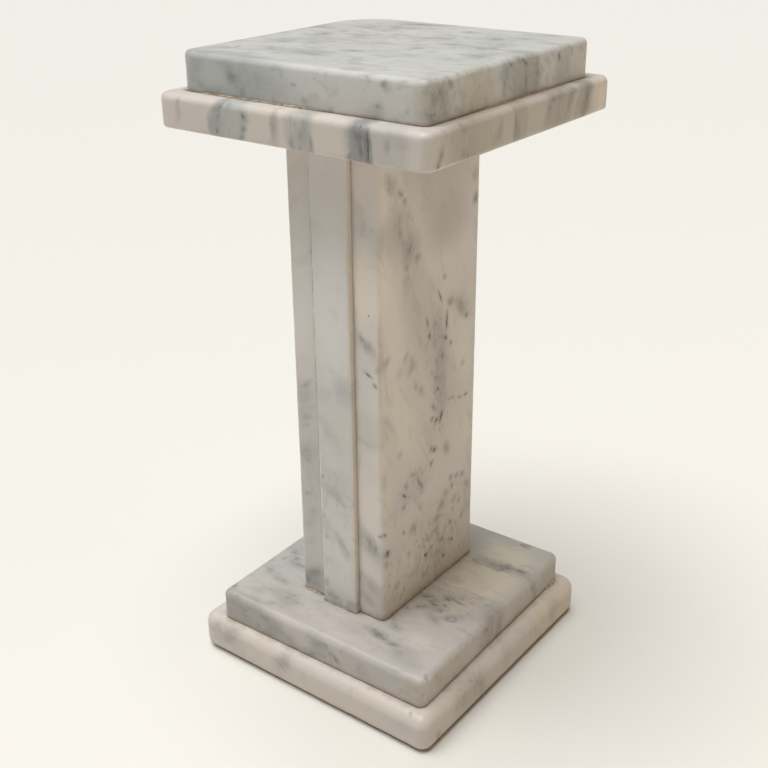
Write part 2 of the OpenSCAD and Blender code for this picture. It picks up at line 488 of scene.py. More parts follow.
def vein_group():
    """One vein, and what stands over it from a fuller vein below. Seen from the vein's middle, turned and
    measured by its own size, a place runs from -1 to 1 along, across and into it: the halo fades over the
    soft share of its reach, and the thinner core falls evenly to its rim. The stronger of each goes on."""
    tree, given, out = new_group("Vein", [
        ("Place", "Vector", (0, 0, 0)), ("Middle", "Vector", (0, 0, 0)), ("Turn", "Vector", (0, 0, 0)),
        ("Size", "Vector", (1, 1, 1)), ("Soft", "Float", 0.95), ("Halo", "Float", 0.4),
        ("Core", "Float", 0.5),
        ("Halo so far", "Float", 0.0), ("Core so far", "Float", 0.0)], [("Halo", "Float"), ("Core", "Float")])
    off = vector(tree, "SUBTRACT", given["Place"], given["Middle"])
    turned = put(tree, "ShaderNodeVectorRotate", {"Vector": off, "Rotation": given["Turn"]},
                 rotation_type="EULER_XYZ", invert=True).outputs[0]
    place = vector(tree, "DIVIDE", turned, given["Size"])
    around = vector(tree, "LENGTH", place, result="Value")
    full = sums(tree, "SUBTRACT", 1.0, given["Soft"])
    halo = sums(tree, "MULTIPLY", spread(tree, around, 1.0, full), given["Halo"])
    tree.links.new(sums(tree, "MAXIMUM", halo, given["Halo so far"]), out["Halo"])
    thin = vector(tree, "LENGTH", vector(tree, "MULTIPLY", place, (1.2, 3.0, 1.6)), result="Value")
    core = sums(tree, "MULTIPLY", sums(tree, "SUBTRACT", 1.0, thin, clamp=True), given["Core"])
    tree.links.new(sums(tree, "MAXIMUM", core, given["Core so far"]), out["Core"])
    return tree


def foot_distance_group():
    """Distance in plan from a block with a rounded-rectangle outline: |place - middle| less the half size,
    only what is outside, less the corner radius."""
    tree, given, out = new_group("Foot distance", [
        ("Place", "Vector", (0, 0, 0)), ("Middle", "Vector", (0, 0, 0)),
        ("Half size", "Vector", (0.1, 0.1, 0)), ("Radius", "Float", 0.0)], [("Distance", "Float")])
    off = vector(tree, "MULTIPLY", vector(tree, "SUBTRACT", given["Place"], given["Middle"]), (1, 1, 0))
    inner = vector(tree, "SUBTRACT", vector(tree, "ABSOLUTE", off), given["Half size"])
    radius = given["Radius"]
    pad = put(tree, "ShaderNodeCombineXYZ", (radius, radius, 0.0)).outputs[0]
    past = vector(tree, "MULTIPLY", vector(tree, "ADD", inner, pad), (1, 1, 0))
    beyond = vector(tree, "LENGTH", vector(tree, "MAXIMUM", past, (0, 0, 0)), result="Value")
    tree.links.new(sums(tree, "SUBTRACT", beyond, radius), out["Distance"])
    return tree


def joint_dirt_and_shade_group():
    """Dirt that gathers in a joint, and painted shade in the shaft's corners and under the cap: a dark line
    in it and a brown stain that fades out, both uneven.
    """
    tree, given, out = new_group("Joint dirt and painted shade", [("Place", "Vector", (0, 0, 0)), ("Distance", "Float", 1.0),
                                                ("Line", "Float", 0.0012), ("Stain", "Float", 0.012)],
                                 [("Line", "Float"), ("Stain", "Float")])
    uneven = grain(tree, given["Place"], 60.0, 3.0, 0.6)
    near = sums(tree, "ABSOLUTE", given["Distance"])
    wide = sums(tree, "MULTIPLY", given["Stain"], spread(tree, uneven, 0.3, 0.7, 0.35, 1.5))
    fade = spread(tree, near, 0.0, wide, 1.0, 0.0)
    tree.links.new(sums(tree, "MULTIPLY", fade, spread(tree, uneven, 0.25, 0.7, 0.35, 1.0)), out["Stain"])
    thin = sums(tree, "MULTIPLY", given["Line"], spread(tree, uneven, 0.3, 0.65, 0.5, 1.4))
    tree.links.new(spread(tree, near, 0.0, thin, 1.0, 0.0), out["Line"])
    return tree


def polish_group():
    """Finish of the polished stone: roughness duller in patches and along fine scuffs, and the height of a
    slight orange-peel and of the scuffs."""
    tree, given, out = new_group("Polish", [("Place", "Vector", (0, 0, 0)), ("Dull", "Float", 0.0)],
                                 [("Roughness", "Float"), ("Height", "Float")])
    place = given["Place"]
    patches = spread(tree, grain(tree, place, 22.0, 4.0, 0.6), 0.3, 0.75, 0.40, 0.54)
    stretched = put(tree, "ShaderNodeMapping", {"Vector": place, "Rotation": (0.5, 0.3, 0.7),
                    "Scale": (1.0, 14.0, 14.0)}).outputs[0]
    scuffs = spread(tree, grain(tree, stretched, 45.0, 3.0, 0.7), 0.66, 0.74)
    rough = sums(tree, "ADD", sums(tree, "MULTIPLY_ADD", scuffs, 0.10, patches),
                 sums(tree, "MULTIPLY", given["Dull"], 0.3), clamp=True)
    tree.links.new(rough, out["Roughness"])
    peel = grain(tree, place, 160.0, 3.0, 0.5)
    tree.links.new(sums(tree, "MULTIPLY_ADD", scuffs, -0.25, peel), out["Height"])
    return tree


FOLDED_PLACE = folded_place_group()
CLOUDED_GROUND = clouded_ground_group()
BEDDING = bedding_group()
VEIN = vein_group()
FOOT_DISTANCE = foot_distance_group()
JOINT_DIRT_AND_SHADE = joint_dirt_and_shade_group()
POLISH = polish_group()


# ---------------------------------------------------------------- stone

# How a vein's long axis is tipped about X and turned about Z to lie on each face, in degrees
VEIN_TURN = {"front": (90.0, 0.0), "back": (90.0, 0.0), "side": (90.0, 90.0), "far": (90.0, 90.0),
             "top": (0.0, 0.0)}
# How far a vein's halo reaches, in its half thickness and depth
HALO_REACH = 1.7
# How a patch ends, unless it says so: softness and mottling
PATCH_END = (0.8, 0.0)
# How far each slab's noise is sampled from the last one's
SAMPLE_STEP = (1.37, 0.61, 2.11)
# Brown of joint stains, and of the painted shade under the cap and down the shaft's corners
STAIN_AND_SHADE_BROWN = (156, 138, 116)
# Brown of dark joint lines, and of the thin painted shade lines under the cap and in the shaft's corners
JOINT_LINE_AND_SHADE_BROWN = (122, 104, 86)
RAGGED_FOLD = 0.9 * MM
# How polished stone shines, and how far light goes into it
STONE_GLOW = {"IOR": 1.49, "Specular IOR Level": 0.45, "Subsurface Weight": 0.12,
              "Subsurface Radius": (1.0, 0.85, 0.7), "Subsurface Scale": 4 * MM}


def spot_mask(tree, place, box, face, spot, halo=1.0, core=0.0, soft=0.95, reach=1.0, so_far=(0.0, 0.0)):
    """Masks of one vein or patch on the front or back (x, z), side or far side (y, z) or top (x, y) face of
    its slab. A spot is (along, up, slant in degrees, half length, half thickness, depth), in millimetres."""
    along, rise, slant, half_long, half_thick, depth = spot
    low, high = box
    middle = {"front": (along * MM, low[1], rise * MM), "back": (along * MM, high[1], rise * MM),
              "side": (high[0], along * MM, rise * MM), "far": (low[0], along * MM, rise * MM),
              "top": (along * MM, rise * MM, high[2])}[face]
    tip, turn = VEIN_TURN[face]
    angles = (tip, 0.0, turn + slant) if face == "top" else (tip, -slant, turn)
    return use(tree, VEIN, Place=place, Middle=middle, Turn=[math.radians(angle) for angle in angles],
               Size=(half_long * MM, half_thick * reach * MM, depth * reach * MM), Soft=soft, Halo=halo,
               Core=core, Halo_so_far=so_far[0], Core_so_far=so_far[1])


def veined(tree, colour, sampled, place, box, veins, wisps, mottle, lay, speckle, grey, dark):
    """Colour with soft grey halos and wisps over it, then dark cores, threads and specks. Cores break up
    where a noise drawn out by the lay of the stone falls low; threads run where another noise crosses its
    middle value, inside the mottled regions."""
    halo, core = 0.0, 0.0
    for face, marks in veins.items():
        for mark in marks:
            seen = spot_mask(tree, place, box, face, mark[:6], *mark[6:], reach=HALO_REACH,
                             so_far=(halo, core))
            halo, core = seen["Halo"], seen["Core"]
    laid = put(tree, "ShaderNodeMapping", {"Vector": sampled, "Scale": lay}).outputs[0]
    off = sums(tree, "ABSOLUTE", sums(tree, "SUBTRACT", grain(tree, laid, 34.0, 4.0, 0.55, 0.5), 0.5))
    gaps = sums(tree, "MULTIPLY", spread(tree, grain(tree, laid, 24.0, 2.0), 0.44, 0.60), mottle)
    cloudy = sums(tree, "MULTIPLY", spread(tree, off, 0.13, 0.0), sums(tree, "MULTIPLY", gaps, 0.45))
    threads = sums(tree, "MULTIPLY", spread(tree, off, 0.050, 0.0), sums(tree, "MULTIPLY", gaps, 0.42))
    broad = spread(tree, grain(tree, sampled, 45.0, 3.0), 0.30, 0.70, 0.60, 1.15, "LINEAR")
    fine = spread(tree, grain(tree, sampled, 180.0, 2.0), 0.30, 0.70, 0.88, 1.08, "LINEAR")
    feather = sums(tree, "MULTIPLY", broad, fine)
    greyed = sums(tree, "MULTIPLY_ADD", halo, feather, sums(tree, "ADD", wisps, cloudy), clamp=True)
    colour = blend(tree, greyed, colour, shade(*grey))
    ragged = sums(tree, "MULTIPLY", sums(tree, "SUBTRACT", grain(tree, laid, 210.0, 3.0, 0.6), 0.5), 1.4)
    broken = spread(tree, sums(tree, "ADD", sums(tree, "MAXIMUM", core, threads), ragged), 0.22, 0.85)
    specks = spread(tree, grain(tree, laid, 120.0, 1.0, 0.5), 0.57, 0.74)
    where = sums(tree, "MAXIMUM", sums(tree, "MULTIPLY", mottle, 0.7), greyed)
    specked = sums(tree, "MULTIPLY", specks, sums(tree, "MULTIPLY", where, speckle), clamp=True)
    return blend(tree, sums(tree, "MAXIMUM", broken, specked), colour, shade(*dark))


def soiled_and_shaded(tree, colour, sampled, dirt):
    """Colour with joint dirt and painted shade over it, and how much of the face these dull."""
    dulled = 0.0
    for distance, line, stain, strength in dirt:
        got = use(tree, JOINT_DIRT_AND_SHADE, Place=sampled, Distance=distance, Line=line * MM, Stain=stain * MM)
        colour = blend(tree, sums(tree, "MULTIPLY", got["Stain"], strength), colour, shade(*STAIN_AND_SHADE_BROWN))
        colour = blend(tree, sums(tree, "MULTIPLY", got["Line"], min(1.0, strength * 1.4)), colour,
                       shade(*JOINT_LINE_AND_SHADE_BROWN))
        dulled = sums(tree, "MAXIMUM", got["Stain"], dulled)
    return colour, dulled


def stone_shader(tree, colour, finish):
    """The polished stone itself: a little light enters it, and a fine bump breaks its shine."""
    bump = put(tree, "ShaderNodeBump", {"Strength": 0.10, "Distance": 0.4 * MM, "Height": finish["Height"]})
    shader = put(tree, "ShaderNodeBsdfPrincipled")
    tree.links.new(colour, shader.inputs["Base Color"])
    tree.links.new(finish["Roughness"], shader.inputs["Roughness"])
    tree.links.new(bump.outputs[0], shader.inputs["Normal"])
    for socket, value in STONE_GLOW.items():
        shader.inputs[socket].default_value = value
    put(tree, "ShaderNodeOutputMaterial", (shader.outputs[0],))


def marble(name, node, seed, pale, cloud, warm, grey, dark, clouding, warming, beds, veins, patches, dirt,
           fold=4.0, lay=(1.0, 1.0, 1.0), speckle=0.5):
    """Polished marble of one slab. beds are (turn in degrees about X, Y, Z, stretch along the turned axes,
    scale, width, strength). veins are listed for each face, each as spot_mask takes it, then its halo, core
    and any softness. patches are laid in turn, each as (face, what spot_mask takes, strength, colour, and any
    softness and mottling); one with no colour only mottles; on the shaft and the step some are painted light
    or shade. dirt makes (distance, line, stain, strength) of joint dirt, and on the shaft of painted shade
    too."""
    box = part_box(node)
    material = bpy.data.materials.new(name)
    material.use_nodes = True
    tree = material.node_tree
    tree.nodes.clear()
    place = put(tree, "ShaderNodeTexCoord").outputs["Object"]
    offset = tuple(seed * part for part in SAMPLE_STEP)
    sampled = put(tree, "ShaderNodeMapping", {"Vector": place, "Location": offset}).outputs[0]
    colour = use(tree, CLOUDED_GROUND, Place=sampled, Pale=shade(*pale), Cloud=shade(*cloud),
                 Warm=shade(*warm), Clouding=clouding, Warming=warming)[0]
    drift = use(tree, FOLDED_PLACE, Place=sampled, Fold=fold * MM, Ragged=RAGGED_FOLD)[0]
    back = vector(tree, "SUBTRACT", drift, offset)
    mottle = 0.0
    for patch in patches:
        strength, tint, soft, mottling = (*patch[7:], *PATCH_END[len(patch) - 9:])
        mask = spot_mask(tree, back, box, patch[0], patch[1:7], soft=soft)["Halo"]
        if tint:
            colour = blend(tree, sums(tree, "MULTIPLY", mask, strength), colour, shade(*tint))
        if mottling:
            mottle = sums(tree, "MAXIMUM", sums(tree, "MULTIPLY", mask, mottling), mottle)
    wisps = 0.0
    for turn, stretch, scale, width, strength in beds:
        bedded = put(tree, "ShaderNodeMapping",
                     {"Vector": sampled, "Rotation": [math.radians(angle) for angle in turn],
                      "Scale": [1.0 / draw for draw in stretch]}, vector_type="TEXTURE").outputs[0]
        mask = use(tree, BEDDING, Place=bedded, Scale=scale, Width=width)[0]
        wisps = sums(tree, "MULTIPLY_ADD", mask, strength, wisps)
    colour = veined(tree, colour, sampled, back, box, veins, wisps, mottle, lay, speckle, grey, dark)
    colour, dulled = soiled_and_shaded(tree, colour, sampled, dirt(tree, place))
    stone_shader(tree, colour, use(tree, POLISH, Place=sampled, Dull=dulled))
    return material


def filler():
    """Old joint filler: cream, mottled, specked with dirt and quite dull."""
    material = bpy.data.materials.new("joint filler")
    material.use_nodes = True
    tree = material.node_tree
    tree.nodes.clear()
    place = put(tree, "ShaderNodeTexCoord").outputs["Object"]
    mottle = spread(tree, grain(tree, place, 160.0, 3.0), 0.35, 0.65)
    colour = blend(tree, mottle, shade(196, 183, 166), shade(164, 144, 120))
    specks = spread(tree, grain(tree, place, 420.0, 2.0), 0.58, 0.66)
    colour = blend(tree, sums(tree, "MULTIPLY", specks, 0.7), colour, shade(88, 72, 58))
    shader = put(tree, "ShaderNodeBsdfPrincipled")
    tree.links.new(colour, shader.inputs["Base Color"])
    shader.inputs["Roughness"].default_value = 0.7
    put(tree, "ShaderNodeOutputMaterial", (shader.outputs[0],))
    return material


def height_above(tree, place, level):
    """Height of a place above a level."""
    rise = put(tree, "ShaderNodeSeparateXYZ", (place,)).outputs[2]
    return sums(tree, "SUBTRACT", rise, level)


def foot_of(tree, place, node, radius):
    """Distance in plan from a CAD block's outline."""
    low, high = (np.array(corner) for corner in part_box(node))
    middle, half = (low + high) / 2, (high - low) / 2
    return use(tree, FOOT_DISTANCE, Place=place, Middle=(middle[0], middle[1], 0.0),
               Half_size=(half[0], half[1], 0.0), Radius=radius)[0]


def display_dirt(tree, place):
    """Dirt along the display slab's foot."""
    yield height_above(tree, place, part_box("display_slab")[0][2]), 0.8, 4.5, 0.45


def cap_dirt(tree, place):
    """Dirt on the cap plate where the display slab stands."""
    yield foot_of(tree, place, "display_slab", DISPLAY_EDGES["corner"]), 1.2, 7.0, 0.45


def display_marble():
    """Cool grey-white stone: soft grey smudges over its top, a grey end and one slanting vein on the front,
    and streaks from top to foot on the smooth side."""
    beds = [((0, 0, 24), (1.0, 2.6, 2.0), 12.0, 0.10, 0.34), ((12, 0, 14), (1.3, 3.0, 2.0), 19.0, 0.08, 0.32)]
    patches = [("front", -95, 726, 0, 120, 60, 30, 0.8, (171, 172, 170), 0.6),
               ("front", 75, 730, 0, 100, 50, 25, 0.5, (201, 196, 188)),
               ("side", -72, 728, 0, 50, 40, 30, 0.7, (186, 180, 160)),
               ("side", 128, 730, 0, 40, 40, 30, 0.5, (194, 186, 170)),
               ("side", 15, 728, 84, 34, 44, 34, 0.7, (154, 148, 136), 0.6),
               ("side", -142, 728, 0, 34, 40, 30, 0.5, (172, 165, 151), 0.7, 0.6),
               ("side", 20, 728, 0, 60, 40, 20, 0, None, 0.8, 0.5),
               ("side", 90, 728, 0, 24, 40, 20, 0.4, (166, 158, 144), 0.7, 0.4),
               ("top", -60, 40, 0, 150, 150, 12, 0, None, 0.8, 0.6),
               ("top", 70, 60, 0, 130, 120, 12, 0, None, 0.8, 0.45),
               ("front", 152, 730, 90, 30, 11, 14, 0.5, (206, 198, 180)),
               ("top", -50, -92, -4, 80, 24, 12, 0.42, (168, 168, 165))]
    veins = dict(
        front=[(-78, 729, -52, 26, 7, 26, 0.62, 0.35), (-66, 716, -30, 10, 6, 20, 0.6, 0.3),
            (-100, 712, 0, 22, 8, 20, 0.3, 0.0), (0, 731, 90, 5, 4, 8, 0.5, 0.4),
            (110, 741, 60, 6, 4.5, 12, 0.55, 0.3), (-20, 722, -8, 60, 16, 12, 0.18, 0.0)],
        side=[(-130, 728, 80, 30, 12, 25, 0.25, 0.1), (-142, 735, -40, 16, 5, 20, 0.45, 0.4),
            (-118, 739, 80, 8, 5, 20, 0.6, 0.6), (-145, 716, -25, 16, 4, 16, 0.4, 0.5),
            (-22, 728, 85, 28, 7, 25, 0.45, 0.4), (-12, 742, -40, 10, 4, 20, 0.6, 0.7),
            (15, 744, -35, 12, 4, 26, 0.75, 1.0), (18, 724, 92, 22, 4.5, 26, 0.65, 0.8),
            (8, 747, 0, 18, 3, 12, 0.5, 0.5), (40, 732, 85, 26, 9, 25, 0.35, 0.2),
            (80, 740, -75, 12, 4, 22, 0.7, 0.9), (86, 724, 60, 20, 9, 20, 0.3, 0.1),
            (105, 725, 88, 24, 10, 20, 0.25, 0.0), (-15, 720, -30, 16, 3, 16, 0.4, 0.4)],
        top=[(-95, 82, -6, 34, 14, 10, 0.42, 0.1), (-140, 56, -30, 14, 12, 10, 0.38, 0.1),
            (-62, 94, 10, 16, 10, 10, 0.35, 0.1), (-45, 102, 0, 12, 8, 10, 0.3, 0.1),
            (-92, 40, -55, 12, 6, 10, 0.35, 0.2), (-55, 24, 50, 20, 9, 10, 0.42, 0.1),
            (-98, 20, -10, 18, 7, 10, 0.3, 0.1), (15, 28, -60, 16, 7, 10, 0.36, 0.1),
            (65, 28, -6, 34, 8, 10, 0.3, 0.0), (103, 24, -30, 14, 7, 10, 0.45, 0.3),
            (75, 88, -40, 22, 10, 10, 0.36, 0.1), (30, 112, -30, 18, 8, 10, 0.3, 0.1),
            (102, 104, -30, 12, 6, 10, 0.3, 0.1), (120, -18, 5, 20, 13, 10, 0.5, 0.0),
            (43, -11, -20, 12, 7, 10, 0.45, 0.1), (0, -60, 20, 30, 8, 10, 0.42, 0.2),
            (-20, -82, -10, 20, 6, 10, 0.35, 0.2), (-25, -95, -8, 36, 6, 10, 0.46, 0.3),
            (36, -104, 10, 14, 8, 10, 0.42, 0.1), (-110, -50, -8, 34, 10, 10, 0.40, 0.1),
            (-84, -90, -40, 12, 5, 10, 0.36, 0.2), (-62, -111, -5, 18, 6, 10, 0.36, 0.1),
            (-118, -108, -40, 10, 6, 10, 0.3, 0.1), (-70, -38, 0, 20, 12, 10, 0.25, 0.0),
            (60, -140, -6, 30, 7, 10, 0.3, 0.1), (-60, 134, -4, 40, 9, 10, 0.35, 0.1),
            (110, 136, 0, 26, 8, 10, 0.3, 0.1), (60, -50, 20, 24, 8, 10, 0.22, 0.0)])
    return marble("display marble", "display_slab", 1, (203, 202, 197), (190, 189, 184), (202, 197, 188),
                  (140, 140, 136), (104, 103, 98), 0.45, 0.3, beds, veins, patches, display_dirt,
                  lay=(0.7, 1.3, 0.8))


def cap_marble():
    """Warm pinkish cream stone crossed by strong upright grey bands."""
    beds = [((0, 0, 20), (1.0, 2.5, 0.8), 9.0, 0.08, 0.16)]
    patches = [("front", -68, 690, 88, 60, 27, 700, 0.75, (172, 171, 167), 0.6, 0.6),
               ("front", 24, 690, 90, 60, 23, 700, 0.64, (170, 169, 165), 0.6, 0.6),
               ("front", 132, 690, 90, 60, 26, 40, 0.6, (178, 173, 168), 0.5),
               ("front", -120, 690, 90, 40, 26, 30, 0.35, (206, 193, 182)),
               ("side", -105, 690, 70, 60, 54, 50, 0.7, (170, 164, 149), 0.6, 0.5),
               ("side", 0, 690, 0, 190, 60, 30, 0.65, (180, 171, 156), 0.4),
               ("side", -16, 690, 88, 50, 16, 40, 0.6, (168, 160, 147), 0.6, 0.3),
               ("side", 62, 690, 78, 50, 36, 40, 0.6, (170, 163, 149), 0.7, 0.5),
               ("side", 110, 690, 66, 50, 18, 40, 0.5, (160, 152, 139), 0.5, 0.6),
               ("side", 150, 690, 90, 40, 22, 30, 0.75, (224, 210, 193)),
               ("far", -60, 690, 76, 50, 30, 40, 0.5, (172, 171, 167), 0.7, 0.5),
               ("far", 90, 690, 84, 50, 18, 40, 0.5, (166, 165, 161), 0.7, 0.5),
               ("front", 96, 690, 90, 60, 18, 60, 0.7, (150, 149, 146), 0.6, 0.6)]
    veins = dict(
        front=[(-141, 692, 92, 16, 3.5, 20, 0.35, 0.25), (-141, 704, 80, 6, 3, 12, 0.4, 0.4),
            (-88, 688, 80, 30, 6, 40, 0.5, 0.35, 0.6), (-82, 703, 60, 9, 4, 30, 0.5, 0.5),
            (-84, 678, 84, 10, 4, 30, 0.5, 0.6), (-48, 697, -75, 12, 6, 30, 0.6, 0.6),
            (-50, 684, 70, 10, 5, 30, 0.55, 0.6), (-52, 676, 40, 8, 4, 20, 0.5, 0.5),
            (-8, 692, 90, 24, 5, 40, 0.5, 0.3, 0.7), (26, 688, 80, 16, 7, 40, 0.4, 0.35),
            (13, 678, 84, 16, 4, 40, 0.4, 0.35), (39, 680, 86, 16, 3, 30, 0.5, 0.3),
            (95, 692, 88, 40, 15, 60, 0.5, 0.0, 0.7), (83, 679, 66, 13, 5, 30, 0.7, 0.7),
            (100, 697, -20, 14, 6, 40, 0.7, 0.5), (107, 686, 92, 28, 4.5, 40, 0.9, 0.85, 0.6),
            (97, 686, 50, 10, 4, 40, 0.6, 0.5), (98, 706, 70, 8, 5, 20, 0.5, 0.4),
            (128, 692, 90, 12, 4, 30, 0.4, 0.2)],
        side=[(-160, 688, 62, 20, 5, 20, 0.5, 0.5), (-163, 680, 20, 7, 4, 20, 0.6, 0.8),
            (-62, 686, 60, 24, 6, 30, 0.4, 0.3), (-118, 682, 40, 12, 5, 20, 0.35, 0.4),
            (-29, 690, 88, 30, 3, 40, 0.4, 0.3, 0.7), (-24, 684, 70, 12, 4, 40, 0.3, 0.3),
            (36, 692, 62, 30, 6, 40, 0.5, 0.3), (44, 700, 30, 10, 4, 30, 0.4, 0.4),
            (82, 694, 80, 26, 7, 40, 0.5, 0.4), (90, 704, -30, 10, 4, 30, 0.4, 0.5),
            (76, 684, 80, 10, 4, 40, 0.4, 0.5), (119, 694, 60, 30, 9, 40, 0.6, 0.45),
            (112, 680, 70, 12, 5, 40, 0.4, 0.3)])
    return marble("cap marble", "cap_plate", 2, (204, 195, 186), (194, 188, 181), (206, 194, 180),
                  (124, 125, 124), (80, 80, 80), 0.4, 0.45, beds, veins, patches, cap_dirt, fold=3.0,
                  lay=(1.0, 1.0, 0.45))


def shaft_left_marble():
    """Plain warm grey-white stone with faint slanting veins and a dark foot."""
    beds = [((20, -30, 0), (1.0, 1.0, 3.0), 9.0, 0.08, 0.15)]
    # The first two patches are painted light: the head darker and browner for the cap's shadow, the middle
    # lighter.
    patches = [("front", -50, 640, 90, 70, 40, 40, 0.6, (206, 195, 186)),
               ("front", -52, 490, 90, 150, 40, 40, 0.85, (226, 219, 212)),
               ("front", -50, 250, 90, 110, 40, 40, 0.5, (188, 184, 178), 0.8, 0.3),
               ("front", -52, 108, 34, 36, 20, 60, 0.5, (162, 160, 155), 0.8, 0.4),
               # Painted shade: a dark strip on the left slab beside the middle slab's proud edge, for the
               # joint's shadow.
               ("front", -33.5, 380, 90, 600, 3.5, 6, 0.45, (128, 119, 108), 0.7)]
    veins = dict(
        front=[(-52, 375, 38, 20, 4.5, 60, 0.55, 0.4), (-56, 364, 38, 24, 12, 50, 0.30, 0.0),
            (-52, 333, 28, 15, 4, 40, 0.4, 0.3), (-54, 322, 28, 12, 3, 40, 0.3, 0.15),
            (-52, 285, 25, 30, 15, 50, 0.3, 0.0), (-56, 229, 28, 11, 2.8, 30, 0.45, 0.5),
            (-50, 207, 28, 18, 5, 40, 0.28, 0.1), (-54, 186, 28, 22, 4, 40, 0.22, 0.05),
            (-54, 160, 30, 20, 5, 40, 0.2, 0.05), (-50, 115, 42, 24, 6, 60, 0.55, 0.4),
            (-60, 104, 36, 14, 5, 30, 0.45, 0.35), (-46, 99, 20, 16, 8, 30, 0.3, 0.1)],
        far=[(-40, 560, 50, 60, 12, 20, 0.35, 0.15), (30, 600, 40, 40, 8, 20, 0.3, 0.2),
            (20, 470, 48, 90, 10, 20, 0.35, 0.2), (-60, 380, 40, 50, 14, 20, 0.3, 0.1),
            (60, 340, 52, 60, 8, 20, 0.35, 0.25), (-10, 250, 44, 80, 12, 20, 0.4, 0.2),
            (40, 150, 40, 70, 16, 20, 0.4, 0.2), (-60, 130, 50, 40, 8, 20, 0.35, 0.3)],
        back=[(-50, 520, 40, 30, 6, 30, 0.3, 0.2), (-52, 260, 36, 30, 8, 30, 0.3, 0.2)])
    return marble("shaft left marble", "shaft_left_slab", 3, (202, 197, 190), (192, 188, 182),
                  (203, 193, 182), (138, 138, 135), (104, 103, 100), 0.45, 0.35, beds, veins, patches,
                  shaft_dirt_and_shade, fold=1.2)


def shaft_core_marble():
    """The cleanest stone, cool white with faint grey shadows."""
    beds = [((20, 30, 0), (1.0, 1.0, 3.0), 9.0, 0.07, 0.12)]
    # The first two patches are painted light: the head darker for the cap's shadow, the middle lighter.
    patches = [("front", -4, 630, 90, 70, 60, 40, 0.6, (206, 196, 191)),
               ("front", -4, 490, 90, 140, 60, 40, 0.85, (229, 224, 219)),
               ("front", -4, 150, 90, 90, 60, 40, 0.6, (222, 217, 210)),
               ("front", 7, 463, 0, 5, 5, 6, 0.5, (236, 232, 227)),
               # The +X side face beside the right slab: warm beige, painted lighter against the corner's
               # shade.
               ("side", -101, 380, 90, 900, 14, 3, 0.8, (226, 214, 197)),
               ("front", 20.5, 380, 90, 900, 4.0, 4, 0.55, (206, 194, 179)),
               # Painted highlight: a bright thin strip along the -X arris of the front.
               ("front", -29.6, 380, 90, 900, 1.4, 4, 0.7, (236, 233, 228)),
               ("front", -4, 220, 90, 150, 60, 40, 0, None, 0.8, 0.4)]
    veins = dict(
        front=[(12, 384, 60, 26, 16, 40, 0.36, 0.0), (-16, 376, 20, 26, 8, 30, 0.2, 0.0),
            (-10, 326, -50, 40, 8, 30, 0.2, 0.0), (-8, 247, -14, 30, 7, 40, 0.42, 0.2),
            (-14, 254, -10, 26, 5, 30, 0.3, 0.25), (-2, 240, -24, 20, 4, 30, 0.3, 0.3),
            (-5, 264, 8, 34, 14, 30, 0.22, 0.0), (2, 178, -58, 34, 6, 40, 0.4, 0.25),
            (-20, 200, 70, 16, 7, 20, 0.3, 0.2), (-25, 212, 0, 5, 4, 20, 0.4, 0.4),
            (-14, 100, -8, 20, 8, 20, 0.6, 0.5), (14, 98, 8, 16, 6, 20, 0.5, 0.4),
            (-26, 264, 60, 7, 4, 10, 0.45, 0.4), (-22, 186, 80, 9, 4, 10, 0.35, 0.3),
            (-24, 116, 80, 12, 5, 10, 0.35, 0.3)],
        back=[(-4, 560, -30, 40, 8, 20, 0.25, 0.1), (-6, 400, 40, 50, 8, 20, 0.3, 0.2),
            (-2, 180, -35, 50, 10, 20, 0.3, 0.2)])
    return marble("shaft core marble", "shaft_core_slab", 4, (208, 204, 197), (199, 196, 190),
                  (208, 200, 191), (142, 140, 136), (106, 104, 100), 0.4, 0.3, beds, veins, patches,
                  shaft_dirt_and_shade, fold=1.2)


